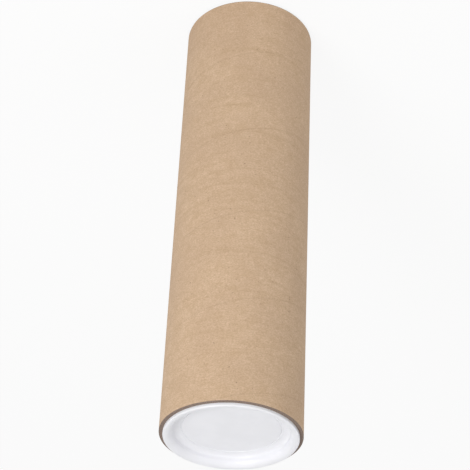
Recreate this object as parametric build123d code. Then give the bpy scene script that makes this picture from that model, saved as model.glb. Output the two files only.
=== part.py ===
"""A cardboard mailing tube: a wound kraft tube with a push-in plastic plug in each end.

Everything is in millimetres.  The tube stands on its lower plug: Z is its axis, and the origin is
the middle of the ring that the lower plug rests on.
"""

import os

from build123d import *

# ---- sizes that are set by themselves -------------------------------------------------------

TUBE_LENGTH = 296.0        # cut length of the kraft tube
TUBE_BORE = 76.2           # inner diameter of the kraft tube
TUBE_WALL = 3.2            # thickness of its wound wall
CUT_EDGE_SOFTENING = 0.3   # rounding that the saw leaves on the tube's four edges

BORE_CLEARANCE = 0.3       # radial gap between a plug's skirt and the bore
FLANGE_OVERLAP = 1.0       # how far a flange reaches out from the bore over the cut edge
FLANGE_HEIGHT = 2.0        # how far a flange stands proud of the tube's end
FLANGE_OUTER_ROUND = 0.6   # rounding of the flange's outer top edge
FLANGE_LAND = 0.5          # width of the flat ring that the flange rests on
FLANGE_INNER_ROUND = 4.3   # large rounding from the flat ring down into the dish

DISH_DEPTH = 6.6           # from the flange's flat ring to the floor of the dish
COVE_WIDTH = 4.6           # radial width of the hollow curve at the foot of the dish's wall
FLOOR_GROOVE_WIDTH = 0.8   # fine groove where that curve meets the floor
FLOOR_GROOVE_DEPTH = 0.35

PLUG_WALL = 1.6            # thickness of the plug's floor and skirt
SKIRT_LENGTH = 18.0        # how far the skirt reaches into the tube
SKIRT_LEAD_IN = 0.7        # chamfer that guides the skirt into the tube
CEILING_FILLET = 1.0       # inside corner between the skirt and the underside of the floor

# ---- sizes that follow from them ------------------------------------------------------------

bore_radius = TUBE_BORE / 2
tube_radius = bore_radius + TUBE_WALL
skirt_radius = bore_radius - BORE_CLEARANCE
skirt_inner_radius = skirt_radius - PLUG_WALL
flange_radius = bore_radius + FLANGE_OVERLAP

land_outer_radius = flange_radius - FLANGE_OUTER_ROUND
land_inner_radius = land_outer_radius - FLANGE_LAND
dish_radius = land_inner_radius - FLANGE_INNER_ROUND
floor_radius = dish_radius - COVE_WIDTH
floor_height = FLANGE_HEIGHT - DISH_DEPTH          # below the tube's end, so negative
dish_wall_foot = FLANGE_HEIGHT - FLANGE_INNER_ROUND
cove_height = dish_wall_foot - floor_height
groove_inner_radius = floor_radius - FLOOR_GROOVE_WIDTH
groove_middle_radius = floor_radius - FLOOR_GROOVE_WIDTH / 2
ceiling_height = floor_height - PLUG_WALL

lower_end = FLANGE_HEIGHT                          # height of the tube's lower cut edge
upper_end = lower_end + TUBE_LENGTH


def make_tube():
    """The kraft tube: a plain wound wall, cut square, its four edges a little softened."""
    section = Rectangle(TUBE_WALL, TUBE_LENGTH, align=(Align.MIN, Align.MIN))
    section = fillet(section.vertices(), CUT_EDGE_SOFTENING)
    section = Pos(bore_radius, lower_end) * section
    return revolve(Plane.XZ * section, Axis.Z)


def plug_section():
    """Half of a plug's section, in a plane of radius and height above the tube's cut edge."""
    with BuildSketch() as section:
        with BuildLine():
            # underside of the flange, up its edge, and over the flat ring
            Line((skirt_radius, 0), (flange_radius, 0))
            Line((flange_radius, 0), (flange_radius, FLANGE_HEIGHT - FLANGE_OUTER_ROUND))
            RadiusArc(
                (flange_radius, FLANGE_HEIGHT - FLANGE_OUTER_ROUND),
                (land_outer_radius, FLANGE_HEIGHT),
                -FLANGE_OUTER_ROUND,
            )
            Line((land_outer_radius, FLANGE_HEIGHT), (land_inner_radius, FLANGE_HEIGHT))
            # down into the dish: a large rounding, then a hollow curve out to the floor
            RadiusArc(
                (land_inner_radius, FLANGE_HEIGHT),
                (dish_radius, dish_wall_foot),
                -FLANGE_INNER_ROUND,
            )
            EllipticalCenterArc(
                (floor_radius, dish_wall_foot), COVE_WIDTH, cove_height, start_angle=-90, arc_size=90
            )
            # the fine groove around the floor, and the floor itself
            ThreePointArc(
                (floor_radius, floor_height),
                (groove_middle_radius, floor_height - FLOOR_GROOVE_DEPTH),
                (groove_inner_radius, floor_height),
            )
            Line((groove_inner_radius, floor_height), (0, floor_height))
            # back along the underside of the floor and round the skirt
            Line((0, floor_height), (0, ceiling_height))
            Line((0, ceiling_height), (skirt_inner_radius, ceiling_height))
            Line((skirt_inner_radius, ceiling_height), (skirt_inner_radius, -SKIRT_LENGTH))
            Line((skirt_inner_radius, -SKIRT_LENGTH), (skirt_radius - SKIRT_LEAD_IN, -SKIRT_LENGTH))
            Line((skirt_radius - SKIRT_LEAD_IN, -SKIRT_LENGTH), (skirt_radius, SKIRT_LEAD_IN - SKIRT_LENGTH))
            Line((skirt_radius, SKIRT_LEAD_IN - SKIRT_LENGTH), (skirt_radius, 0))
        make_face()
        ceiling_corner = section.vertices().filter_by_position(
            Axis.X, skirt_inner_radius - 0.01, skirt_inner_radius + 0.01
        ).sort_by(Axis.Y)[-1]
        fillet(ceiling_corner, CEILING_FILLET)
    return section.sketch


def make_plug():
    """One plug, its flange seated on a cut edge at height 0 and its skirt pointing down."""
    return revolve(Plane.XZ * plug_section(), Axis.Z)


def main():
    plug = make_plug()
    nodes = {
        "kraft_tube": make_tube(),
        "top_plug": Pos(0, 0, upper_end) * plug,
        "bottom_plug": Pos(0, 0, lower_end) * Rot(180, 0, 0) * plug,
    }
    os.makedirs("parts", exist_ok=True)
    for name, shape in nodes.items():
        export_step(shape, f"parts/{name}.step")


main()
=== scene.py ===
"""Looks for a kraft cardboard mailing tube with a white push-in plug in each end."""

import math

import bpy
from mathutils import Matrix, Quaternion, Vector


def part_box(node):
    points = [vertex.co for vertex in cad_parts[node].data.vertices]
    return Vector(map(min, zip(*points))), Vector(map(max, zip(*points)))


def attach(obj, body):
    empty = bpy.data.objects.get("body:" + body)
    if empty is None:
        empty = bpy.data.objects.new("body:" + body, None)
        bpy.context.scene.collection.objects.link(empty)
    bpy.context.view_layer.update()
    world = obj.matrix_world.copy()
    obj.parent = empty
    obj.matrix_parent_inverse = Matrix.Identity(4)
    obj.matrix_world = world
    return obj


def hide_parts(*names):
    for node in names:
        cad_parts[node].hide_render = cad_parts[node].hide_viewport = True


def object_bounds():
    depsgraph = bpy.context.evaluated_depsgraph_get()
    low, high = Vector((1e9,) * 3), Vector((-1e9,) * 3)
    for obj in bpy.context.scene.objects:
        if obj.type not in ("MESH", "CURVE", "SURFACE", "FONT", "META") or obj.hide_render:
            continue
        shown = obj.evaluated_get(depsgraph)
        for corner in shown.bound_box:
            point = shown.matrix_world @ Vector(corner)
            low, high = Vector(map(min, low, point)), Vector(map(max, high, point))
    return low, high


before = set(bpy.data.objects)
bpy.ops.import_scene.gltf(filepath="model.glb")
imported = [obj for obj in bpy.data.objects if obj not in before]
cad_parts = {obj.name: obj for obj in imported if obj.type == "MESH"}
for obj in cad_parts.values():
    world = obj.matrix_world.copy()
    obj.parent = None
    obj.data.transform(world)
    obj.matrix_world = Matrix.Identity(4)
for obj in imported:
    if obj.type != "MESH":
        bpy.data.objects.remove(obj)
cad_low, cad_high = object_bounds()

# ---- sizes, in metres -----------------------------------------------------------------------

MM = 0.001
TUBE_WALL = 3.2 * MM
BORE_CLEARANCE = 0.3 * MM
FLANGE_HEIGHT = 2.0 * MM
FLANGE_OUTER_ROUND = 0.6 * MM
FLANGE_LAND = 0.5 * MM
FLANGE_INNER_ROUND = 4.3 * MM
DISH_DEPTH = 6.6 * MM
COVE_WIDTH = 4.6 * MM
FLOOR_GROOVE_WIDTH = 0.8 * MM
FLOOR_GROOVE_DEPTH = 0.35 * MM
PLUG_WALL = 1.6 * MM
SKIRT_LEAD_IN = 0.7 * MM
CEILING_FILLET = 1.0 * MM
CUT_EDGE_SOFTENING = 0.3 * MM

SEAM_LEAD = 62 * MM          # rise of the outer ply's spiral seam in one turn
SEAM_WIDTH = 0.9 * MM        # from the middle of the seam to where it fades out
SEAM_DEPTH = 0.04 * MM
PLY_COUNT = 6                # wound plies that show on the cut edge

tube_low, tube_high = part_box("kraft_tube")
plug_low, plug_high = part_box("top_plug")
base_low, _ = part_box("bottom_plug")
tube_radius = tube_high[0]
bore_radius = tube_radius - TUBE_WALL
flange_radius = plug_high[0]
skirt_length = (plug_high[2] - plug_low[2]) - FLANGE_HEIGHT

# ---- steps of the meshes --------------------------------------------------------------------

AROUND = 256                 # steps round the tube
AROUND_PLUG = 192            # steps round a plug
ALONG = 300                  # steps along the tube's outside
ALONG_BORE = 40              # steps along its bore
ACROSS_EDGE = 2 * PLY_COUNT  # steps across its upper cut edge
CORNER_STEPS = 5             # steps of each softened corner, and of the plug's inside corner
GROOVE_STEPS = 8
COVE_STEPS = 14
LIP_STEPS = 16
RIM_STEPS = 6

FLOOR_RINGS = (0.25, 0.5, 0.75, 0.9)   # rings across the dish's floor, as shares of its radius
UNDERSIDE_RINGS = (0.7, 0.35)          # the same for the underside of the floor
COVE_START = -84             # degrees: the hollow curve's point at -90 is the groove's last
LIP_START = 171              # degrees: the rounding's point at 180 is the hollow curve's last
LAST_CORNER_STOP = 355       # degrees: the tube's last corner stops just short of its first ring

TUBE_SHARP = 50              # degrees: an edge that turns by more than this is drawn sharp
PLUG_SHARP = 35
ON_THE_OUTSIDE = 1e-6        # a point this near the tube's outer radius lies on it

KRAFT, CUT_EDGE, LINER = 0, 1, 2       # places in the tube's list of materials
WHITE = 0                              # the same for a plug

# ---- meshes ---------------------------------------------------------------------------------


def arc(centre, radii, start, stop, steps):
    """Points (radius, height) along an elliptical arc, in degrees, both ends included."""
    points = []
    for step in range(steps + 1):
        angle = math.radians(start + (stop - start) * step / steps)
        radius = centre[0] + radii[0] * math.cos(angle)
        height = centre[1] + radii[1] * math.sin(angle)
        points.append((radius, height))
    return points


def revolved(name, rings, around, closed, materials, sharp_degrees, shift=None):
    """A mesh of rings turned about Z.  rings holds (radius, height, material number).  A closed
    mesh joins its last ring to its first; an open one has a fan over each end.  shift may move a
    point, given its radius, height and turn."""
    vertices = []
    for radius, height, _ in rings:
        for step in range(around):
            turn = 2 * math.pi * step / around
            r, z = shift(radius, height, turn) if shift else (radius, height)
            vertices.append((r * math.cos(turn), r * math.sin(turn), z))
    faces = []
    slots = []
    count = len(rings)
    for ring in range(count if closed else count - 1):
        following = (ring + 1) % count
        for step in range(around):
            beside = (step + 1) % around
            faces.append(
                (
                    ring * around + step,
                    ring * around + beside,
                    following * around + beside,
                    following * around + step,
                )
            )
            slots.append(rings[ring][2])
    if not closed:
        for ring, outward in ((0, False), (count - 1, True)):
            middle = len(vertices)
            vertices.append((0.0, 0.0, rings[ring][1]))
            for step in range(around):
                beside = (step + 1) % around
                pair = (ring * around + step, ring * around + beside)
                faces.append((*pair, middle) if outward else (*reversed(pair), middle))
                slots.append(rings[ring][2])
    mesh = bpy.data.meshes.new(name)
    mesh.from_pydata(vertices, [], faces)
    mesh.polygons.foreach_set("material_index", slots)
    for material in materials:
        mesh.materials.append(material)
    mesh.shade_smooth()
    mesh.set_sharp_from_angle(angle=math.radians(sharp_degrees))
    mesh.update()
    piece = bpy.data.objects.new(name, mesh)
    bpy.context.scene.collection.objects.link(piece)
    return piece


# ---- materials ------------------------------------------------------------------------------

MIX_FIRST, MIX_SECOND = 6, 7           # the Mix node's sockets for two colours
MIX_RESULT = 2                         # and for the colour they make


class Nodes:
    """Short calls for one material's node tree."""

    def __init__(self, name):
        self.material = bpy.data.materials.new(name)
        self.material.use_nodes = True
        self.tree = self.material.node_tree
        self.shader = self.tree.nodes["Principled BSDF"]
        self.place = self.tree.nodes.new("ShaderNodeTexCoord").outputs["Object"]

    def link(self, source, target):
        self.tree.links.new(source, target)

    def set(self, socket, value):
        if isinstance(value, bpy.types.NodeSocket):
            self.link(value, socket)
        else:
            socket.default_value = value

    def scaled(self, scale):
        node = self.tree.nodes.new("ShaderNodeMapping")
        self.link(self.place, node.inputs["Vector"])
        node.inputs["Scale"].default_value = scale
        return node.outputs["Vector"]

    def noise(self, scale, detail=3.0, roughness=0.55, stretch=(1, 1, 1), distortion=0.0):
        node = self.tree.nodes.new("ShaderNodeTexNoise")
        self.link(self.scaled(stretch), node.inputs["Vector"])
        node.inputs["Scale"].default_value = scale
        node.inputs["Detail"].default_value = detail
        node.inputs["Roughness"].default_value = roughness
        node.inputs["Distortion"].default_value = distortion
        return node.outputs["Fac"]

    def math(self, operation, first, second=0.0):
        node = self.tree.nodes.new("ShaderNodeMath")
        node.operation = operation
        self.set(node.inputs[0], first)
        self.set(node.inputs[1], second)
        return node.outputs["Value"]

    def band(self, value, low, high, to_low=0.0, to_high=1.0):
        node = self.tree.nodes.new("ShaderNodeMapRange")
        node.interpolation_type = "SMOOTHSTEP"
        self.link(value, node.inputs["Value"])
        node.inputs["From Min"].default_value = low
        node.inputs["From Max"].default_value = high
        node.inputs["To Min"].default_value = to_low
        node.inputs["To Max"].default_value = to_high
        return node.outputs["Result"]

    def mix(self, share, first, second):
        node = self.tree.nodes.new("ShaderNodeMix")
        node.data_type = "RGBA"
        self.set(node.inputs["Factor"], share)
        self.set(node.inputs[MIX_FIRST], first)
        self.set(node.inputs[MIX_SECOND], second)
        return node.outputs[MIX_RESULT]

    def bump(self, height, distance, under=None):
        node = self.tree.nodes.new("ShaderNodeBump")
        node.inputs["Distance"].default_value = distance
        node.inputs["Strength"].default_value = 1.0
        self.link(height, node.inputs["Height"])
        if under is not None:
            self.link(under, node.inputs["Normal"])
        return node.outputs["Normal"]


def colour(red, green, blue):
    """A linear colour from sRGB values of 0 to 255."""

    def linear(value):
        share = value / 255
        return share / 12.92 if share <= 0.04045 else ((share + 0.055) / 1.055) ** 2.4

    return (linear(red), linear(green), linear(blue), 1.0)


def seam_nearness(n):
    """How near a point is to the spiral seam: 0.5 on the seam, 0 halfway between its turns."""
    split = n.tree.nodes.new("ShaderNodeSeparateXYZ")
    n.link(n.place, split.inputs["Vector"])
    angle = n.math("ARCTAN2", split.outputs["Y"], split.outputs["X"])
    turn = n.math("DIVIDE", angle, 2 * math.pi)
    rise = n.math("DIVIDE", split.outputs["Z"], SEAM_LEAD)
    share = n.math("FRACT", n.math("SUBTRACT", rise, turn))
    return n.math("ABSOLUTE", n.math("SUBTRACT", share, 0.5))


def kraft_material():
    """Brown kraft paper: mottled fibre, faint bands round the tube, specks and the spiral seam."""
    n = Nodes("kraft paper")
    grain = n.noise(900, 5.0, 0.7, stretch=(1, 1, 1.8))
    mottle = n.noise(160, 4.0, 0.6, stretch=(1, 1, 1.5))
    cloud = n.noise(28, 3.0, 0.5)
    bands = n.noise(60, 4.0, 0.6, stretch=(0.25, 0.25, 6))
    fibres = n.noise(420, 3.0, 0.6, stretch=(1, 1, 4), distortion=0.6)
    base = n.mix(n.band(mottle, 0.32, 0.68), colour(208, 179, 148), colour(219, 191, 162))
    base = n.mix(n.band(cloud, 0.35, 0.68, 0.0, 0.55), base, colour(204, 176, 149))
    base = n.mix(n.band(bands, 0.5, 0.75, 0.0, 0.35), base, colour(188, 158, 127))
    base = n.mix(n.band(grain, 0.38, 0.66, 0.45, 0.0), base, colour(166, 134, 100))
    base = n.mix(n.band(fibres, 0.64, 0.74, 0.0, 0.5), base, colour(228, 206, 180))
    specks = n.noise(620, 2.0, 0.5)
    base = n.mix(n.band(specks, 0.70, 0.76, 0.0, 0.55), base, colour(120, 92, 68))
    seam = n.band(seam_nearness(n), 0.5 - SEAM_WIDTH / SEAM_LEAD, 0.5, 0.0, 0.12)
    base = n.mix(seam, base, colour(140, 110, 82))
    n.link(base, n.shader.inputs["Base Color"])
    n.link(n.band(mottle, 0.3, 0.7, 0.82, 0.94), n.shader.inputs["Roughness"])
    n.shader.inputs["Specular IOR Level"].default_value = 0.25
    n.shader.inputs["Sheen Weight"].default_value = 0.03
    n.shader.inputs["Sheen Roughness"].default_value = 0.6
    under = n.bump(mottle, 0.12 * MM)
    under = n.bump(fibres, 0.06 * MM, under=under)
    n.link(n.bump(grain, 0.08 * MM, under=under), n.shader.inputs["Normal"])
    return n.material


def cut_edge_material():
    """The sawn end of the board: darker, rough, with the lines of its wound plies."""
    n = Nodes("cut board edge")
    split = n.tree.nodes.new("ShaderNodeSeparateXYZ")
    n.link(n.place, split.inputs["Vector"])
    radius = n.math(
        "SQRT",
        n.math(
            "ADD",
            n.math("POWER", split.outputs["X"], 2.0),
            n.math("POWER", split.outputs["Y"], 2.0),
        ),
    )
    depth = n.math("DIVIDE", n.math("SUBTRACT", radius, bore_radius), TUBE_WALL / PLY_COUNT)
    plies = n.band(n.math("ABSOLUTE", n.math("SUBTRACT", n.math("FRACT", depth), 0.5)), 0.36, 0.5)
    rough = n.noise(1500, 4.0, 0.7)
    base = n.mix(n.band(rough, 0.3, 0.7), colour(120, 106, 98), colour(160, 142, 130))
    base = n.mix(n.math("MULTIPLY", plies, 0.6), base, colour(92, 76, 68))
    n.link(base, n.shader.inputs["Base Color"])
    n.shader.inputs["Roughness"].default_value = 0.95
    n.shader.inputs["Specular IOR Level"].default_value = 0.1
    n.link(n.bump(rough, 0.2 * MM), n.shader.inputs["Normal"])
    return n.material


def inner_board_material():
    """The plain grey-brown liner ply inside the bore."""
    n = Nodes("liner paper")
    mottle = n.noise(220, 4.0, 0.65, stretch=(1, 1, 2))
    base = n.mix(n.band(mottle, 0.3, 0.7), colour(158, 134, 108), colour(182, 158, 130))
    n.link(base, n.shader.inputs["Base Color"])
    n.shader.inputs["Roughness"].default_value = 0.92
    n.link(n.bump(mottle, 0.12 * MM), n.shader.inputs["Normal"])
    return n.material


def plug_material():
    """White moulded polyethylene: satin, faintly clouded, with a fine moulded texture."""
    n = Nodes("white polyethylene")
    cloud = n.noise(60, 3.0, 0.5)
    fine = n.noise(1400, 3.0, 0.6)
    marks = n.noise(240, 3.0, 0.6, stretch=(1, 0.25, 1))
    base = n.mix(n.band(cloud, 0.35, 0.7), colour(238, 238, 242), colour(242, 242, 246))
    base = n.mix(n.band(marks, 0.66, 0.8, 0.0, 0.25), base, colour(222, 222, 228))
    n.link(base, n.shader.inputs["Base Color"])
    n.link(n.band(fine, 0.3, 0.7, 0.3, 0.42), n.shader.inputs["Roughness"])
    n.shader.inputs["Subsurface Weight"].default_value = 0.15
    n.shader.inputs["Subsurface Radius"].default_value = (2 * MM, 2 * MM, 2.2 * MM)
    n.shader.inputs["Subsurface Scale"].default_value = 1.0
    under = n.bump(cloud, 0.06 * MM)
    n.link(n.bump(fine, 0.015 * MM, under=under), n.shader.inputs["Normal"])
    return n.material


# ---- the tube -------------------------------------------------------------------------------


def seam_shift(radius, height, turn):
    """Sinks the outer face a little along the spiral seam."""
    if radius < tube_radius - ON_THE_OUTSIDE:
        return radius, height
    share = (height / SEAM_LEAD - turn / (2 * math.pi) + 0.5) % 1.0 - 0.5
    off = abs(share) * SEAM_LEAD
    return radius - SEAM_DEPTH * max(0.0, 1 - off / SEAM_WIDTH), height


def cut_corner(radius, height, start, stop):
    """Rings of one softened corner of a cut edge, about its middle, between two angles."""
    soft = (CUT_EDGE_SOFTENING, CUT_EDGE_SOFTENING)
    corner = arc((radius, height), soft, start, stop, CORNER_STEPS)
    return [(r, z, CUT_EDGE) for r, z in corner]


def tube_rings():
    """The wall's section: up the outside, over the upper cut edge, down the bore, and out over
    the lower one."""
    outer = tube_radius - CUT_EDGE_SOFTENING
    inner = bore_radius + CUT_EDGE_SOFTENING
    low = tube_low[2] + CUT_EDGE_SOFTENING
    high = tube_high[2] - CUT_EDGE_SOFTENING
    rings = []
    for step in range(ALONG):
        rings.append((tube_radius, low + (high - low) * step / ALONG, KRAFT))
    rings += cut_corner(outer, high, 0, 90)
    for step in range(1, ACROSS_EDGE):
        rings.append((outer - (outer - inner) * step / ACROSS_EDGE, tube_high[2], CUT_EDGE))
    rings += cut_corner(inner, high, 90, 180)
    # the liner starts from the corner's last ring
    rings[-1] = (*rings[-1][:2], LINER)
    for step in range(1, ALONG_BORE):
        rings.append((bore_radius, high - (high - low) * step / ALONG_BORE, LINER))
    rings += cut_corner(inner, low, 180, 270)
    rings += cut_corner(outer, low, 270, LAST_CORNER_STOP)
    return rings


def make_tube():
    materials = (kraft_material(), cut_edge_material(), inner_board_material())
    piece = revolved(
        "kraft_tube_wound", tube_rings(), AROUND, True, materials, TUBE_SHARP, seam_shift
    )
    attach(piece, "tube")
    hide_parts("kraft_tube")


# ---- the plugs ------------------------------------------------------------------------------


def plug_rings():
    """A plug's profile from the middle of its dish, over the flange, to the middle of its
    underside, with heights above the tube's cut edge."""
    flange_top = FLANGE_HEIGHT
    land_outer = flange_radius - FLANGE_OUTER_ROUND
    land_inner = land_outer - FLANGE_LAND
    dish = land_inner - FLANGE_INNER_ROUND
    floor = dish - COVE_WIDTH
    foot = flange_top - FLANGE_INNER_ROUND
    bottom = flange_top - DISH_DEPTH
    skirt = bore_radius - BORE_CLEARANCE
    skirt_in = skirt - PLUG_WALL
    ceiling = bottom - PLUG_WALL
    points = [(floor * share, bottom) for share in FLOOR_RINGS]
    groove = (FLOOR_GROOVE_WIDTH / 2, FLOOR_GROOVE_DEPTH)
    points += arc((floor - groove[0], bottom), groove, -180, 0, GROOVE_STEPS)
    points += arc((floor, foot), (COVE_WIDTH, foot - bottom), COVE_START, 0, COVE_STEPS)
    lip = (FLANGE_INNER_ROUND, FLANGE_INNER_ROUND)
    points += arc((land_inner, foot), lip, LIP_START, 90, LIP_STEPS)
    rim = (FLANGE_OUTER_ROUND, FLANGE_OUTER_ROUND)
    points += arc((land_outer, flange_top - rim[1]), rim, 90, 0, RIM_STEPS)
    points += [(flange_radius, 0.0), (skirt, 0.0)]
    points += [(skirt, SKIRT_LEAD_IN - skirt_length), (skirt - SKIRT_LEAD_IN, -skirt_length)]
    points += [(skirt_in, -skirt_length)]
    corner = (CEILING_FILLET, CEILING_FILLET)
    points += arc((skirt_in - corner[0], ceiling - corner[1]), corner, 0, 90, CORNER_STEPS)
    points += [(skirt_in * share, ceiling) for share in UNDERSIDE_RINGS]
    return points


def make_plug(name, node, body, seat, facing, white):
    """A plug whose flange sits on the cut edge at height seat; facing 1 is up and -1 is down."""
    rings = [(r, seat + facing * z, WHITE) for r, z in plug_rings()]
    piece = revolved(name, rings, AROUND_PLUG, False, (white,), PLUG_SHARP)
    if facing > 0:
        # the profile runs from the dish outwards, so upright its faces come out inside out
        piece.data.flip_normals()
    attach(piece, body)
    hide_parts(node)


def make_plugs():
    white = plug_material()
    make_plug("top_plug_moulded", "top_plug", "upper_plug", plug_high[2] - FLANGE_HEIGHT, 1, white)
    make_plug(
        "bottom_plug_moulded", "bottom_plug", "lower_plug", base_low[2] + FLANGE_HEIGHT, -1, white
    )


# ---- floor, light and camera ----------------------------------------------------------------

FLOOR_SIZE = 12.0
FLOOR_COLOUR = (0.9, 0.9, 0.9, 1)
PLAIN_WHITE = (1, 1, 1, 1)
WORLD_LIGHT = 0.55           # how bright the surroundings light the object
FLOOR_GLOW = 0.88            # share of the floor that shows as plain white


def make_floor():
    mesh = bpy.data.meshes.new("floor")
    half = FLOOR_SIZE / 2
    corners = [(-half, -half, 0), (half, -half, 0), (half, half, 0), (-half, half, 0)]
    mesh.from_pydata(corners, [], [(0, 1, 2, 3)])
    floor = bpy.data.objects.new("floor", mesh)
    bpy.context.scene.collection.objects.link(floor)
    material = bpy.data.materials.new("pale floor")
    material.use_nodes = True
    tree = material.node_tree
    tree.nodes.clear()
    output = tree.nodes.new("ShaderNodeOutputMaterial")
    matte = tree.nodes.new("ShaderNodeBsdfDiffuse")
    matte.inputs["Color"].default_value = FLOOR_COLOUR
    glow = tree.nodes.new("ShaderNodeEmission")
    glow.inputs["Color"].default_value = PLAIN_WHITE
    path = tree.nodes.new("ShaderNodeLightPath")
    share = tree.nodes.new("ShaderNodeMath")
    share.operation = "MULTIPLY"
    share.inputs[1].default_value = FLOOR_GLOW
    mix = tree.nodes.new("ShaderNodeMixShader")
    tree.links.new(path.outputs["Is Camera Ray"], share.inputs[0])
    tree.links.new(share.outputs[0], mix.inputs["Fac"])
    tree.links.new(matte.outputs[0], mix.inputs[1])
    tree.links.new(glow.outputs[0], mix.inputs[2])
    tree.links.new(mix.outputs[0], output.inputs["Surface"])
    mesh.materials.append(material)


def make_world():
    """Surroundings that light the object softly, but look plain white where they are seen."""
    world = bpy.data.worlds.new("studio")
    bpy.context.scene.world = world
    world.use_nodes = True
    tree = world.node_tree
    back = tree.nodes["Background"]
    back.inputs["Color"].default_value = PLAIN_WHITE
    path = tree.nodes.new("ShaderNodeLightPath")
    seen = path.outputs["Is Camera Ray"]
    for ray in ("Is Glossy Ray", "Is Transmission Ray"):
        most = tree.nodes.new("ShaderNodeMath")
        most.operation = "MAXIMUM"
        tree.links.new(seen, most.inputs[0])
        tree.links.new(path.outputs[ray], most.inputs[1])
        seen = most.outputs[0]
    level = tree.nodes.new("ShaderNodeMapRange")
    level.inputs["To Min"].default_value = WORLD_LIGHT
    level.inputs["To Max"].default_value = 1.0
    tree.links.new(seen, level.inputs["Value"])
    tree.links.new(level.outputs["Result"], back.inputs["Strength"])


def make_lamp(name, azimuth, elevation, distance, size, power):
    """An area lamp aimed at the tube's middle; azimuth 0 is the camera's side, 90 is +X."""
    lamp = bpy.data.lights.new(name, "AREA")
    lamp.shape = "DISK"
    lamp.size = size
    lamp.energy = power
    a, e = math.radians(azimuth), math.radians(elevation)
    out = Vector((math.sin(a) * math.cos(e), -math.cos(a) * math.cos(e), math.sin(e)))
    middle = Vector((0, 0, (cad_low[2] + cad_high[2]) / 2))
    holder = bpy.data.objects.new(name, lamp)
    holder.location = middle + out * distance
    holder.rotation_mode = "QUATERNION"
    holder.rotation_quaternion = out.to_track_quat("Z", "Y")
    bpy.context.scene.collection.objects.link(holder)


CAMERA_DISTANCE = 0.919      # from the middle of the tube's upper end
CAMERA_ELEVATION = 27.5
CAMERA_ROLL = -177.14        # the upper end hangs at the bottom of the picture
CAMERA_LENS = 122.8
CAMERA_SENSOR = 36.0
CAMERA_NEAR, CAMERA_FAR = 0.05, 50.0
AIM_SIDE = 0.0035            # the point that the camera looks at, beside the axis
AIM_HEIGHT = 0.1592          # and above the floor


def make_camera():
    data = bpy.data.cameras.new("camera")
    data.sensor_width = CAMERA_SENSOR
    data.lens = CAMERA_LENS
    data.clip_start = CAMERA_NEAR
    data.clip_end = CAMERA_FAR
    camera = bpy.data.objects.new("camera", data)
    e = math.radians(CAMERA_ELEVATION)
    end = Vector((0, 0, tube_high[2]))
    camera.location = end + Vector((0, -math.cos(e), math.sin(e))) * CAMERA_DISTANCE
    forward = Vector((AIM_SIDE, 0, AIM_HEIGHT)) - camera.location
    camera.rotation_mode = "QUATERNION"
    level = forward.to_track_quat("-Z", "Y")
    camera.rotation_quaternion = level @ Quaternion((0, 0, 1), math.radians(CAMERA_ROLL))
    bpy.context.scene.collection.objects.link(camera)
    bpy.context.scene.camera = camera


bpy.context.scene.view_settings.view_transform = "Standard"
make_camera()
make_tube()
make_plugs()
make_floor()
make_world()
make_lamp("key", azimuth=34, elevation=38, distance=1.5, size=0.7, power=10)
make_lamp("fill", azimuth=-65, elevation=20, distance=1.8, size=1.2, power=3.2)
make_lamp("overhead", azimuth=0, elevation=82, distance=1.5, size=0.8, power=0.9)
